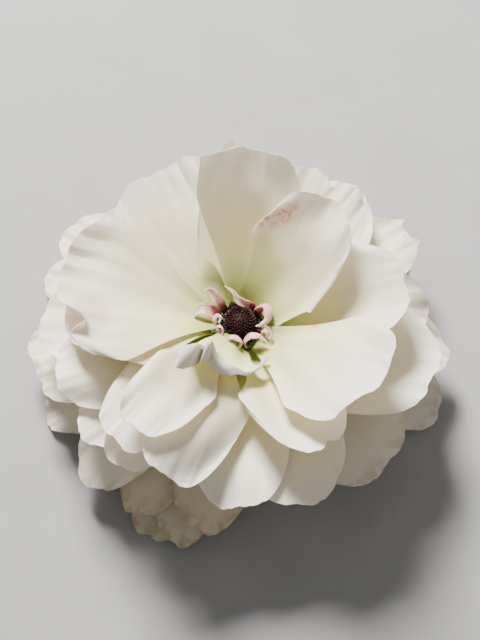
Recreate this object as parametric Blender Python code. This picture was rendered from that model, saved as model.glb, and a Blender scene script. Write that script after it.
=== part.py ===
"""A fully open double ranunculus: one cut bloom on a short stem, resting face up on its outer petals.

Every petal, petaloid and sepal is a separate solid, as it is on the plant. All of them are laid out
around the receptacle at the flower's own origin, and the whole flower is then moved so that the
bottom of its box sits at the centre of the XY plane. Front is -Y, up is +Z.
"""

import math

import bpy
import numpy as np

MM = 0.001  # every size below is in millimetres

# ---- driving dimensions ----
PETAL_THICKNESS = 0.6
PETAL_GAP = 0.4  # air between one petal and the next one in
CLAW_SHARE = 0.5  # thickness and gap at the claws, as a share of those further out
CLAW_DISTANCE = 8.0  # distance from the origin up to which that holds
BLADE_DISTANCE = 18.0  # and from which petals have their full thickness
GROUND_Z = -17.0  # the surface that the bloom rests on, below the flower's own origin

STEM_RADIUS = 2.4
NECK_Z = -9.5  # where the stem starts to swell into the receptacle
RECEPTACLE_RADIUS = 7.6
RECEPTACLE_Z = -4.2  # height of its widest ring
RECEPTACLE_TOP_RADIUS = 5.2
RECEPTACLE_TOP_Z = 1.5

CARPEL_RADIUS = 4.0
CARPEL_HEIGHT = 6.4
CARPEL_LOBES = 8

STAMEN_COUNT = 24
STAMEN_INNER_RADIUS = 4.35
STAMEN_WALL = 0.5
STAMEN_HEIGHT = 4.2
STAMEN_FLARE = 0.15

SEPAL_COUNT = 5
SEPAL_FIRST_AZIMUTH = 18.0

# Resolution of the solids: points along a petal, points across it
PETAL_GRID = (9, 7)
PETALOID_GRID = (9, 5)
ARC_STEPS = 8  # steps that a cross-section is summed up over, between two points across

# The stack of petals is tracked as the smallest polar angle reached so far, on a
# grid of distance from the origin and azimuth
DISTANCE_STEP = 0.5
MOST_DISTANCE = 70.0
AZIMUTH_CELLS = 180
SETTLE_TURNS = 10
SETTLE_FINENESS = 4  # test points along each side of a petal's cells
SETTLE_TOLERANCE = 0.02

# ---- petals ----
# A whorl sets where its petals leave the receptacle and how broad their claws are
INNER_WHORL = dict(base_radius=6.6, base_height=1.8, claw=0.22)
MIDDLE_WHORL = dict(base_radius=7.4, base_height=-1.4, claw=0.17)
OUTER_WHORL = dict(base_radius=8.4, base_height=-4.6, claw=0.16)

# What a petal has unless it says otherwise. Angles are in degrees.
PETAL = dict(
    taper=0.46,  # how far its rim falls back from its tip to its sides, as a share of its length
    skew=0.0,  # moves that fall towards its clockwise side
    slant=0.0,  # how much longer its clockwise side is, as a share of its length
    square=2.3,  # how square its outline is: 2 is an ellipse
    shoulder=1.0,  # where along its length it reaches full width
    flare=0.0,  # how far its rim turns outwards
    early=0.0,  # how much nearer the claw than usual it starts to turn
    flares=(),  # and where it turns more: place across, width, degrees, how much nearer the claw
    lean=0.0,  # swings its rim anticlockwise
    ripple=0.5,  # waves along its rim
    ripples=1.9,
    roll=(0, 0),  # turns its anticlockwise and clockwise sides inwards
)
ROLL_SHARE = 0.24  # how much of a petal's length its rim takes to turn outwards

# Name, azimuth from +X, length, width, mean rise above level, bend outwards, cupping.
# They are listed from the innermost to the outermost.
INNER_PETALS = (
    ("front_curl", -109, 20.0, 25, 23, -16, 6, dict(
        flare=116, early=0.04,
        flares=((0.95, 0.3, -75, -0.06), (0.54, 0.08, 10, 0.18), (0.36, 0.08, -60, -0.04)),
        claw=0.42, taper=0.32, skew=-0.8, square=2.6, slant=0.3, base_radius=7.6)),
    ("right_lower", -39, 38.0, 43, 32, -14, 40, dict(taper=0.22, square=3.0, shoulder=1.6, claw=0.17)),
    ("upper_right", 38, 33.0, 31, 41, -16, 52, dict(
        roll=(0, 60), square=2.6, skew=0.2, claw=0.5, shoulder=1.0, lean=6)),
    ("lower_right", -62, 38.0, 28, 25, -10, 36, dict(shoulder=1.2)),
    ("right", 5, 36.0, 35, 27, -10, 40, {}),
    ("lower_left", -125, 38.0, 23, 29, -12, 34, dict(
        base_radius=7.4, shoulder=1.25, square=2.8, taper=0.36)),
    ("top_left", 84, 37.6, 33, 43, -14, 38, dict(
        skew=0.8, square=3.0, shoulder=1.25, claw=0.2, taper=0.25)),
    ("left_fan", 174, 38.5, 46, 24, -12, 26, dict(
        claw=0.18, base_radius=7.0, shoulder=1.2, square=2.8, taper=0.3, skew=0.15,
        flares=((-0.55, 0.18, -70, 0.0),))),
    ("bottom_left", -112, 40.5, 27, 15, -4, 28, dict(
        claw=0.18, base_radius=7.0, shoulder=1.1, square=2.8)),
)
MIDDLE_PETALS = (
    ("left_fan_lower", -174, 36.0, 32, 20, -8, 24, {}),
    ("top_behind", 93, 39.3, 22, 34, -10, 30, dict(taper=0.65, square=2.0)),
    ("right_corner", 45, 37.5, 22, 32, -8, 36, {}),
    ("upper_right_behind", 63, 36.0, 28, 30, -10, 34, {}),
    ("upper_left", 117, 37.0, 42, 21, 0, 24, dict(shoulder=1.2, square=2.8, taper=0.3)),
    ("lower_left_behind", -130, 40.0, 27, 22, -6, 30, {}),
    ("right_wide", -18, 41.5, 38, 14, 0, 26, {}),
    ("lower_left_point", -127, 40.5, 25, 13, 4, 26, dict(taper=0.6)),
    ("left_low", -158, 39.5, 28, 13, 4, 26, {}),
    ("left_behind", -177, 40.5, 32, 11, 4, 22, {}),
    ("lower_left_edge", -141, 39.5, 24, 10, 6, 26, {}),
    ("bottom", -90, 39.5, 29, 7, 8, 24, {}),
    ("bottom_right", -70, 40.5, 32, 8, 8, 24, {}),
)
OUTER_PETALS = (
    ("outer_upper_left", 136, 36.5, 28, 15, 10, 20, {}),
    ("outer_right_upper", 8, 37.5, 26, 5, 12, 22, {}),
    ("outer_upper_right", 52, 38.5, 31, 14, 12, 22, {}),
    ("outer_left_upper", 147, 43.0, 27, 3, 24, 22, {}),
    ("outer_right_corner", 33, 41.5, 27, 3, 20, 22, {}),
    ("outer_left_low", -166, 41.0, 24, 0, 20, 22, {}),
    ("outer_left_mid", -178, 43.4, 24, -4, 24, 22, {}),
    ("outer_right", -4, 42.2, 28, -3, 24, 22, {}),
    ("outer_bottom_right", -45, 39.5, 38, 1, 20, 22, {}),
    ("outer_lower_left", -136, 42.8, 26, -8, 26, 22, {}),
    ("droop_front", -100, 40.3, 24, -8, 26, 22, {}),
    ("droop_left", -121, 41.5, 22, -10, 26, 22, {}),
    ("outer_left", 155, 47.0, 25, -17, 26, 22, {}),
    ("outer_far_right", 36, 44.0, 24, -17, 26, 22, {}),
    ("outer_right_low", -16, 44.5, 26, -17, 26, 22, {}),
    ("outer_left_droop", -161, 43.4, 24, -17, 26, 22, {}),
    ("droop_tip", -107, 44.0, 20, -18, 24, 24, {}),
    ("droop_lobe", -115, 45.0, 22, -17, 26, 24, {}),
    ("outer_top", 78, 36.0, 30, -10, 24, 22, {}),
    ("outer_top_left", 106, 37.0, 30, -15, 24, 22, {}),
)

# The curled petaloids around the centre: name, azimuth, length, width, mean rise, bend, cupping
PETALOID_BASE = dict(base_radius=5.6, base_height=2.2, claw=0.6, taper=0.4, shoulder=0.78, ripple=0.0)
PETALOIDS = (
    ("petaloid_hook", 12, 8.5, 3.4, 95, -70, 60),
    ("petaloid_ribbon", 92, 9.5, 2.4, 84, -60, 50),
    ("petaloid_twisted", 133, 9.0, 3.0, 58, 50, 50),
    ("petaloid_left", 163, 7.5, 2.8, 52, 70, 50),
    ("petaloid_left_low", -168, 6.5, 2.6, 80, -50, 50),
    ("petaloid_front_left", -140, 7.0, 2.6, 72, 40, 50),
    ("petaloid_front", -106, 7.0, 2.4, 66, 50, 50),
    ("petaloid_front_right", -63, 7.5, 2.6, 64, 50, 50),
    ("petaloid_sliver", -32, 7.0, 1.8, 88, 10, 40),
)

SEPAL = dict(
    base_radius=7.2, base_height=-7.2, claw=0.5, taper=0.4, square=2.0, shoulder=0.78, ripple=0.0,
    length=10.5, width=7.0, rise=-36, bend=16, cup=18,
)


# ---- shape functions ----
def ease(t):
    """0 below 0, 1 above 1, with level ends between."""
    t = np.clip(t, 0.0, 1.0)
    return t * t * (3 - 2 * t)


def summed(values, step):
    """Running integral of values along their last axis, 0 at the first one."""
    between = (values[..., 1:] + values[..., :-1]) / 2
    return np.concatenate([np.zeros_like(values[..., :1]), np.cumsum(between, -1)], -1) * step


def sampled(values, share):
    """Each column's values, which are evenly spaced along it, at a share of the way along it."""
    last = values.shape[1] - 1
    cell = np.clip(share * last, 0, last - 1).astype(int)
    part = share * last - cell
    column = np.arange(len(values))[None, :]
    return values[column, cell] * (1 - part) + values[column, cell + 1] * part


def blade(spec, rows, columns):
    """The middle surface of a petal as rows x columns points, from its claw to its rim.

    Its midline runs outwards and up from the receptacle, and each cross-section is an arc
    that lifts the sides.
    """
    phase = np.random.default_rng(spec["seed"]).uniform(0, 2 * math.pi, 4)
    along = np.linspace(0, 1, rows)[:, None]
    fine = np.linspace(-1, 1, (columns - 1) * ARC_STEPS + 1)[None, :]
    across = fine[:, ::ARC_STEPS]

    # Outline: the corners fall back from the tip, and the rim is a little uneven
    fall = 1 - np.sqrt(1 - np.abs(across) ** spec["square"])
    reach = 1 - spec["taper"] * (1 + spec["skew"] * across) * fall + spec["slant"] * across
    reach = reach + 0.012 * np.sin(2.2 * math.pi * across + phase[0])
    reach = reach + 0.004 * np.sin(4.7 * math.pi * across + phase[1])
    inner = ease(1.2 * along)
    share = along * (reach * inner + 1 - inner)
    growth = np.sin(0.5 * math.pi * np.clip(along / spec["shoulder"], 0, 1)) ** 1.15
    narrowing = 1 - 0.16 * ease((along - 0.7) / 0.3)
    half_width = spec["width"] / 2 * (spec["claw"] + (1 - spec["claw"]) * growth) * narrowing

    # Lengthwise: the slope runs from the claw's to the rim's, and is summed up from the claw
    steps = np.linspace(0, 1, 201)
    turned = spec["flare"] + 0 * across.T
    start = 1 - 1.2 * ROLL_SHARE - spec["early"] + 0 * across.T
    for place, wide, degrees, nearer in spec["flares"]:
        bump = np.exp(-(((across.T - place) / wide) ** 2))
        turned = turned + degrees * bump
        start = start - nearer * bump
    slope = spec["rise"] + spec["bend"] * (0.5 - steps) - turned * ease((steps - start) / ROLL_SHARE)
    slope = np.radians(slope)
    stride = spec["length"] / (len(steps) - 1)
    radius = spec["base_radius"] + sampled(summed(np.cos(slope), stride), share)
    height = spec["base_height"] + sampled(summed(np.sin(slope), stride), share)
    tilt = sampled(slope, share)

    # Cross-section: how steeply it rises sideways, summed up from the midline
    nearest = np.round(np.linspace(0, columns - 1, fine.shape[1])).astype(int)
    near_share = share[:, nearest]
    sides = np.radians(spec["roll"])
    rising = np.radians(spec["cup"]) * (1.15 - 0.35 * near_share) * fine
    rising = rising + sides[1] * ease((fine - 0.62) / 0.38) * ease(1.6 * near_share - 0.3)
    rising = rising - sides[0] * ease((-fine - 0.62) / 0.38) * ease(1.6 * near_share - 0.3)
    step = 2 / (fine.shape[1] - 1)
    sideways = summed(np.cos(rising), step)[:, ::ARC_STEPS]
    lift = summed(np.sin(rising), step)[:, ::ARC_STEPS]
    middle_column = columns // 2
    sideways = half_width * (sideways - sideways[:, middle_column, None])
    lift = half_width * (lift - lift[:, middle_column, None])
    rim_wave = np.sin(spec["ripples"] * math.pi * across + phase[2])
    side_wave = np.abs(across) ** 3 * ease(2 * share) * np.sin(3.2 * math.pi * share + phase[3])
    lift = lift + spec["ripple"] * (share**3 * rim_wave + 0.6 * side_wave)

    azimuth = np.radians(spec["azimuth"] + spec["lean"] * share**1.5)
    flat = np.zeros_like(azimuth)
    out = np.stack([np.cos(azimuth), np.sin(azimuth), flat], -1)
    clockwise = np.stack([np.sin(azimuth), -np.cos(azimuth), flat], -1)
    up = np.array([0, 0, 1])
    facing = up * np.cos(tilt)[..., None] - out * np.sin(tilt)[..., None]
    middle = out * radius[..., None] + up * height[..., None]
    return middle + clockwise * sideways[..., None] + facing * lift[..., None]


def body(distance):
    """The share of its full thickness that a petal has this far from the origin."""
    full = ease((distance - CLAW_DISTANCE) / (BLADE_DISTANCE - CLAW_DISTANCE))
    return CLAW_SHARE + (1 - CLAW_SHARE) * full


def to_polar(points):
    """Distance from the origin, azimuth and polar angle from +Z."""
    distance = np.maximum(np.linalg.norm(points, axis=-1), 1e-6)
    azimuth = np.mod(np.arctan2(points[..., 1], points[..., 0]), 2 * math.pi)
    return distance, azimuth, np.arccos(np.clip(points[..., 2] / distance, -1, 1))


def from_polar(distance, azimuth, polar):
    flat = distance * np.sin(polar)
    return np.stack([flat * np.cos(azimuth), flat * np.sin(azimuth), distance * np.cos(polar)], -1)


def normals(points):
    """Unit normals of a grid of points, on a petal's inner side."""
    normal = np.cross(np.gradient(points, axis=1), np.gradient(points, axis=0))
    return normal / np.maximum(np.linalg.norm(normal, axis=-1, keepdims=True), 1e-9)


def refine(points, times):
    """The same surface with times as many cells each way, by straight interpolation."""
    for _ in range(2):
        last = len(points) - 1
        place = np.linspace(0, last, last * times + 1)
        cell = np.minimum(place.astype(int), last - 1)
        share = (place - cell)[:, None, None]
        points = (points[cell] * (1 - share) + points[cell + 1] * share).swapaxes(0, 1)
    return points


def neighbours(values):
    """The nine values around each cell of a grid, itself included."""
    rows, columns = values.shape
    padded = np.pad(values, 1, mode="edge")
    return np.stack([padded[i : i + rows, j : j + columns] for i in range(3) for j in range(3)])


class Stack:
    """What the petals placed so far take up, as the smallest polar angle over distance and azimuth."""

    def __init__(self):
        self.rings = int(MOST_DISTANCE / DISTANCE_STEP) + 1
        self.lowest = np.full((self.rings, AZIMUTH_CELLS), math.pi)

    def limit(self, distance, azimuth):
        ring = np.clip(distance / DISTANCE_STEP, 0, self.rings - 1.001).astype(int)
        cell = (azimuth / (2 * math.pi) * AZIMUTH_CELLS).astype(int) % AZIMUTH_CELLS
        after = (cell + 1) % AZIMUTH_CELLS
        inner = np.minimum(self.lowest[ring, cell], self.lowest[ring, after])
        outer = np.minimum(self.lowest[ring + 1, cell], self.lowest[ring + 1, after])
        return np.minimum(inner, outer)

    def add(self, points):
        distance, azimuth, polar = to_polar(refine(points, 6))
        ring = np.minimum(np.round(distance / DISTANCE_STEP).astype(int), self.rings - 1)
        cell = np.round(azimuth / (2 * math.pi) * AZIMUTH_CELLS).astype(int) % AZIMUTH_CELLS
        np.minimum.at(self.lowest, (ring, cell), polar)

    def settle(self, points):
        """Swings points up until the surface clears everything below it, between them as well."""
        for _ in range(SETTLE_TURNS):
            fine = refine(points, SETTLE_FINENESS)
            distance, azimuth, polar = to_polar(fine)
            downwards = np.stack(
                [np.cos(polar) * np.cos(azimuth), np.cos(polar) * np.sin(azimuth), -np.sin(polar)], -1
            )
            lean = np.clip(np.abs((normals(fine) * downwards).sum(-1)), 0.45, 1)
            spacing = (PETAL_THICKNESS + PETAL_GAP) * body(distance)
            limit = self.limit(distance, azimuth) - spacing / (np.maximum(distance, 3) * lean)
            ground = np.arccos(np.clip((GROUND_Z + PETAL_THICKNESS / 2) / distance, -1, 1))
            needed = np.maximum(0, polar - np.minimum(limit, ground)) * distance
            if needed.max() < SETTLE_TOLERANCE:
                break
            reach = SETTLE_FINENESS // 2
            worst = np.pad(needed, reach)
            for axis in (0, 1):
                worst = np.lib.stride_tricks.sliding_window_view(worst, 2 * reach + 1, axis).max(-1)
            worst = worst[::SETTLE_FINENESS, ::SETTLE_FINENESS]
            swing = np.maximum(neighbours(neighbours(worst).mean(0)).mean(0), worst)
            distance, azimuth, polar = to_polar(points)
            points = from_polar(distance, azimuth, polar - swing / distance)
        return points


# ---- solids ----
def principled(name, colour, roughness):
    material = bpy.data.materials.new(name)
    material.use_nodes = True
    shader = material.node_tree.nodes["Principled BSDF"]
    shader.inputs["Base Color"].default_value = (*colour, 1)
    shader.inputs["Roughness"].default_value = roughness
    shader.inputs["Metallic"].default_value = 0.0
    return material


def add_object(name, points, faces, material):
    mesh = bpy.data.meshes.new(name)
    mesh.from_pydata((np.asarray(points) * MM).tolist(), [], faces)
    mesh.materials.append(material)
    mesh.shade_smooth()
    mesh.set_sharp_from_angle(angle=math.radians(50))
    flower = bpy.data.objects.new(name, mesh)
    bpy.context.collection.objects.link(flower)
    return flower


def add_sheet(name, middle, thickness, material):
    """A closed solid around a grid of points. Its thickness is a number, or one for each point."""
    rows, columns = middle.shape[:2]
    half = normals(middle) * np.broadcast_to(thickness, (rows, columns))[..., None] / 2
    points = np.concatenate([(middle + half).reshape(-1, 3), (middle - half).reshape(-1, 3)])
    back = rows * columns

    def at(row, column):
        return row * columns + column

    faces = []
    for row in range(rows - 1):
        for column in range(columns - 1):
            a, b = at(row, column), at(row, column + 1)
            c, d = at(row + 1, column + 1), at(row + 1, column)
            faces += [(a, b, c), (a, c, d)]
            faces += [(back + a, back + c, back + b), (back + a, back + d, back + c)]
    rim = [at(0, column) for column in range(columns)]
    rim += [at(row, columns - 1) for row in range(1, rows)]
    rim += [at(rows - 1, column) for column in range(columns - 2, -1, -1)]
    rim += [at(row, 0) for row in range(rows - 2, 0, -1)]
    for a, b in zip(rim, rim[1:] + rim[:1]):
        faces += [(b, a, back + a), (b, back + a, back + b)]
    return add_object(name, points, faces, material)


def add_turned(name, profile, segments, material, swell=None):
    """A solid of revolution about Z. The profile runs from the bottom pole to the top pole."""
    angles = np.arange(segments) * 2 * math.pi / segments
    points = [(0, 0, profile[0][1])]
    for radius, height in profile[1:-1]:
        for angle in angles:
            wide = radius * (swell(angle, height) if swell else 1)
            points.append((wide * math.cos(angle), wide * math.sin(angle), height))
    points.append((0, 0, profile[-1][1]))
    rings = len(profile) - 2
    top = len(points) - 1
    faces = []
    for i in range(segments):
        j = (i + 1) % segments
        faces.append((0, 1 + j, 1 + i))
        for ring in range(rings - 1):
            low, high = 1 + ring * segments, 1 + (ring + 1) * segments
            faces.append((low + i, low + j, high + j, high + i))
        last = 1 + (rings - 1) * segments
        faces.append((last + i, last + j, top))
    return add_object(name, np.array(points), faces, material)


def add_petals(materials):
    """Stacks the petals from the outermost in, so that each one lies on those behind it."""
    whorls = ((INNER_WHORL, INNER_PETALS), (MIDDLE_WHORL, MIDDLE_PETALS), (OUTER_WHORL, OUTER_PETALS))
    specs = []
    for whorl, petals in whorls:
        for name, azimuth, length, width, rise, bend, cup, extra in petals:
            shape = dict(azimuth=azimuth, length=length, width=width, rise=rise, bend=bend, cup=cup)
            specs.append({**PETAL, **whorl, **shape, **extra, "name": name, "seed": len(specs) + 1})
    stack = Stack()
    for spec in reversed(specs):
        middle = stack.settle(blade(spec, *PETAL_GRID))
        stack.add(middle)
        kind = "outer" if spec["base_height"] == OUTER_WHORL["base_height"] else "inner"
        thickness = PETAL_THICKNESS * body(to_polar(middle)[0])
        add_sheet("petal_" + spec["name"], middle, thickness, materials[kind])


def add_petaloids(material):
    for number, (name, azimuth, length, width, rise, bend, cup) in enumerate(PETALOIDS):
        shape = dict(azimuth=azimuth, length=length, width=width, rise=rise, bend=bend, cup=cup)
        spec = {**PETAL, **PETALOID_BASE, **shape, "seed": 60 + number}
        add_sheet(name, blade(spec, *PETALOID_GRID), PETAL_THICKNESS, material)


def add_sepals(material):
    for number in range(SEPAL_COUNT):
        azimuth = SEPAL_FIRST_AZIMUTH + number * 360 / SEPAL_COUNT
        spec = {**PETAL, **SEPAL, "azimuth": azimuth, "seed": 80 + number}
        add_sheet("sepal_%d" % (number + 1), blade(spec, *PETALOID_GRID), PETAL_THICKNESS, material)


def add_stem(material):
    """The short cut stem and the receptacle that it swells into, one living piece."""
    profile = (
        (0, GROUND_Z),
        (STEM_RADIUS, GROUND_Z),
        (STEM_RADIUS, NECK_Z - 2),
        (STEM_RADIUS + 0.3, NECK_Z),
        (RECEPTACLE_RADIUS * 0.55, NECK_Z + 1.8),
        (RECEPTACLE_RADIUS * 0.88, RECEPTACLE_Z - 1.6),
        (RECEPTACLE_RADIUS, RECEPTACLE_Z),
        (RECEPTACLE_RADIUS - 0.4, RECEPTACLE_Z + 1.2),
        (RECEPTACLE_TOP_RADIUS + 1.2, RECEPTACLE_Z + 3.0),
        (RECEPTACLE_TOP_RADIUS + 0.2, RECEPTACLE_TOP_Z - 0.8),
        (RECEPTACLE_TOP_RADIUS - 0.2, RECEPTACLE_TOP_Z),
        (0, RECEPTACLE_TOP_Z),
    )
    add_turned("stem", profile, 24, material)


def add_carpels(material):
    """The dark cone of carpels, lobed all round."""
    base = RECEPTACLE_TOP_Z + 0.3
    turns = np.radians(np.linspace(-38, 90, 8))
    centre = base + CARPEL_HEIGHT * 0.38
    profile = [(0, base)]
    for turn in turns[:-1]:
        rise = CARPEL_HEIGHT * 0.62 * math.sin(turn)
        profile.append((CARPEL_RADIUS * math.cos(turn), max(centre + rise, base)))
    profile.append((0, base + CARPEL_HEIGHT))

    def swell(angle, height):
        return 1 - 0.05 * (1 - math.cos(CARPEL_LOBES * angle + 2 * height))

    add_turned("carpels", profile, 3 * CARPEL_LOBES, material, swell)


def add_stamens(material):
    """A low ring whose upper edge rises into one point for each stamen."""
    count = 2 * STAMEN_COUNT
    low = RECEPTACLE_TOP_Z + 0.3
    points = []
    for i in range(count):
        angle = i * 2 * math.pi / count
        tooth = i % 2
        height = low + STAMEN_HEIGHT * (1 if tooth else 0.25)
        lean = STAMEN_FLARE * tooth
        inner = STAMEN_INNER_RADIUS
        outer = STAMEN_INNER_RADIUS + STAMEN_WALL
        rim = inner + STAMEN_WALL / 2 + lean
        wall = 0.22 if tooth else STAMEN_WALL / 2
        for radius, z in ((inner, low), (outer, low), (rim + wall, height), (rim - wall, height)):
            points.append((radius * math.cos(angle), radius * math.sin(angle), z))
    faces = []
    for i in range(count):
        here, there = 4 * i, 4 * ((i + 1) % count)
        for side in range(4):
            after = (side + 1) % 4
            faces.append((here + side, there + side, there + after))
            faces.append((here + side, there + after, here + after))
    add_object("stamens", np.array(points), faces, material)


def rest_on_origin():
    """Moves the whole flower so that the bottom of its box is centred on the origin."""
    flower = [item for item in bpy.data.objects if item.type == "MESH"]
    corners = np.array([vertex.co for item in flower for vertex in item.data.vertices])
    low, high = corners.min(0), corners.max(0)
    shift = -np.array([(low[0] + high[0]) / 2, (low[1] + high[1]) / 2, low[2]])
    for item in flower:
        item.location = shift
    bpy.context.view_layer.update()


def main():
    for item in list(bpy.data.objects):
        bpy.data.objects.remove(item)
    add_petals({
        "inner": principled("petal_white", (0.83, 0.81, 0.72), 0.55),
        "outer": principled("petal_outer_white", (0.74, 0.71, 0.62), 0.6),
    })
    add_petaloids(principled("petaloid_pink", (0.72, 0.50, 0.42), 0.55))
    add_sepals(principled("sepal_green", (0.22, 0.30, 0.10), 0.6))
    add_stem(principled("stem_green", (0.24, 0.34, 0.12), 0.55))
    add_carpels(principled("carpel_dark", (0.028, 0.006, 0.010), 0.5))
    add_stamens(principled("stamen_dark", (0.05, 0.012, 0.02), 0.55))
    rest_on_origin()


main()
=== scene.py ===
"""The looks of a fully open double ranunculus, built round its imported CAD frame.

Each petal, petaloid, sepal, stamen and carpel is its own thin, curved geometry. Shapes are laid out
in millimetres about the flower's own origin, which lies on the stem's axis, and are then moved into
the frame. Front is -Y, up is +Z.
"""

import math

import bpy
import numpy as np
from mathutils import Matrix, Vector


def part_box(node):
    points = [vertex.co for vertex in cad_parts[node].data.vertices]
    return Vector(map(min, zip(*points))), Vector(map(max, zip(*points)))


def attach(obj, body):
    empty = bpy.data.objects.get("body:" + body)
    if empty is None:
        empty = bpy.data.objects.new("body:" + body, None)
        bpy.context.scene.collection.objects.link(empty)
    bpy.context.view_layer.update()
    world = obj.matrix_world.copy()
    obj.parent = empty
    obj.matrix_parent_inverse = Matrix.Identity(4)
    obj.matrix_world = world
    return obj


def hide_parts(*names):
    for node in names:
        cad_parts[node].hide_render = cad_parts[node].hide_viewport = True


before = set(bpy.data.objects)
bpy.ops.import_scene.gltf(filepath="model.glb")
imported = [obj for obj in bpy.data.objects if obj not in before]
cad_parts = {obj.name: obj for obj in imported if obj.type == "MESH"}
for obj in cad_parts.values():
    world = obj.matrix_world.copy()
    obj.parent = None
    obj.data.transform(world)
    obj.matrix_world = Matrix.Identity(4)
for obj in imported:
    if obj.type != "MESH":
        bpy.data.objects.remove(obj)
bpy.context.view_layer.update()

MM = 0.001
GROUND_Z = -17.0  # what the bloom rests on, below the flower's own origin
stem_low, stem_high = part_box("stem")
ORIGIN = np.array([(stem_low.x + stem_high.x) / 2, (stem_low.y + stem_high.y) / 2, stem_low.z]) / MM
ORIGIN[2] -= GROUND_Z

# ---- petals ----
PETAL_GRID = (57, 49)  # points along a petal, points across it
PETAL_THICKNESS = 0.28
RIM_THICKNESS = 0.14
RIM_TAPER = 0.08  # how much of a petal's length thins towards its rim
SIDE_TAPER = 0.12  # and how much of each half of it thins towards its side
PETAL_SPACING = 1.0  # from the middle of one petal to the middle of the next one in
CLAW_SHARE = 0.5  # thickness and spacing at the claws, as a share of those further out
CLAW_DISTANCE = 8.0
BLADE_DISTANCE = 18.0
GROUND_CLEARANCE = 0.3
ROLL_SHARE = 0.24  # how much of a petal's length its rim takes to turn outwards

DISTANCE_STEP = 0.5
MOST_DISTANCE = 70.0
AZIMUTH_CELLS = 360
SETTLE_TURNS = 8
SETTLE_TOLERANCE = 0.03
SWING_REACH = (4, 4)  # how far a push spreads over a petal, in rows and columns
SWING_ROUNDS = 2

INNER_WHORL = dict(base_radius=6.6, base_height=1.8, claw=0.22, finish="inner")
MIDDLE_WHORL = dict(base_radius=7.4, base_height=-1.4, claw=0.17, finish="inner")
OUTER_WHORL = dict(base_radius=8.4, base_height=-4.6, claw=0.16, finish="outer")

# What a petal has unless it says otherwise. Angles are in degrees, heights of waves in millimetres.
PETAL = dict(
    taper=0.46,  # how far its rim falls back from its tip to its sides, as a share of its length
    skew=0.0,  # moves that fall towards its clockwise side
    slant=0.0,  # how much longer its clockwise side is, as a share of its length
    square=2.3,  # how square its outline is: 2 is an ellipse
    shoulder=1.0,  # where along its length it reaches full width
    flare=0.0,  # how far its rim turns outwards
    early=0.0,  # how much nearer the claw than usual it starts to turn
    flares=(),  # and where it turns more: place across, width, degrees, how much nearer the claw
    lean=0.0,  # swings its rim anticlockwise
    ripple=0.5,  # waves along its rim
    ripples=1.9,
    ruffle=0.10,  # smaller waves along its rim
    pleat=0.07,  # folds that run from claw to rim
    pleats=5.0,
    roll=(0, 0),  # turns its anticlockwise and clockwise sides inwards
    crumple=0.16,  # uneven dents
    notches=(),  # place across, depth as a share of length, width
)

# Name, azimuth from +X, length, width, mean rise above level, bend outwards, cupping.
# They are listed from the innermost to the outermost.
INNER_PETALS = (
    # front_curl's rolled finish paints its turned-down rim greyer, as painted shade
    ("front_curl", -109, 20.0, 25, 23, -16, 6, dict(
        flare=116, early=0.04,
        flares=((0.95, 0.30, -75, -0.06), (0.54, 0.08, 10, 0.18), (0.36, 0.08, -60, -0.04)),
        claw=0.42, taper=0.32, skew=-0.8, square=2.6, slant=0.30, base_radius=7.6, finish="rolled")),
    ("right_lower", -39, 38.0, 43, 32, -14, 40, dict(taper=0.22, square=3.0, shoulder=1.6, claw=0.17)),
    ("upper_right", 38, 33.0, 31, 41, -16, 52, dict(
        finish="spotted", roll=(0, 60), square=2.6, skew=0.2, claw=0.50, shoulder=1.0, lean=6,
        crumple=0.3)),
    ("lower_right", -62, 38.0, 28, 25, -10, 36, dict(shoulder=1.2, notches=((-0.1, 0.05, 0.10),))),
    ("right", 5, 36.0, 35, 27, -10, 40, {}),
    ("lower_left", -125, 38.0, 23, 29, -12, 34, dict(
        base_radius=7.4, shoulder=1.25, square=2.8, taper=0.36)),
    ("top_left", 84, 37.6, 33, 43, -14, 38, dict(
        skew=0.8, square=3.0, shoulder=1.25, claw=0.2, taper=0.25, crumple=0.34)),
    ("left_fan", 174, 38.5, 46, 24, -12, 26, dict(
        claw=0.18, base_radius=7.0, shoulder=1.2, square=2.8, taper=0.3, skew=0.15,
        pleat=0.42, pleats=7, flares=((-0.55, 0.18, -70, 0.0),), finish="blushed")),
    ("bottom_left", -112, 40.5, 27, 15, -4, 28, dict(
        claw=0.18, base_radius=7.0, shoulder=1.1, square=2.8)),
)
MIDDLE_PETALS = (
    ("left_fan_lower", -174, 36.0, 32, 20, -8, 24, {}),
    ("top_behind", 93, 39.3, 22, 34, -10, 30, dict(taper=0.65, square=2.0)),
    ("right_corner", 45, 37.5, 22, 32, -8, 36, {}),
    ("upper_right_behind", 63, 36.0, 28, 30, -10, 34, dict(notches=((0.0, -0.03, 0.12),))),
    ("upper_left", 117, 37.0, 42, 21, 0, 24, dict(
        shoulder=1.2, square=2.8, taper=0.3, pleat=0.6, pleats=8)),
    ("lower_left_behind", -130, 40.0, 27, 22, -6, 30, {}),
    ("right_wide", -18, 41.5, 38, 14, 0, 26, {}),
    ("lower_left_point", -127, 40.5, 25, 13, 4, 26, dict(taper=0.6)),
    ("left_low", -158, 39.5, 28, 13, 4, 26, {}),
    ("left_behind", -177, 40.5, 32, 11, 4, 22, {}),
    ("lower_left_edge", -141, 39.5, 24, 10, 6, 26, {}),
    ("bottom", -90, 39.5, 29, 7, 8, 24, {}),
    ("bottom_right", -70, 40.5, 32, 8, 8, 24, {}),
)
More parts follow.
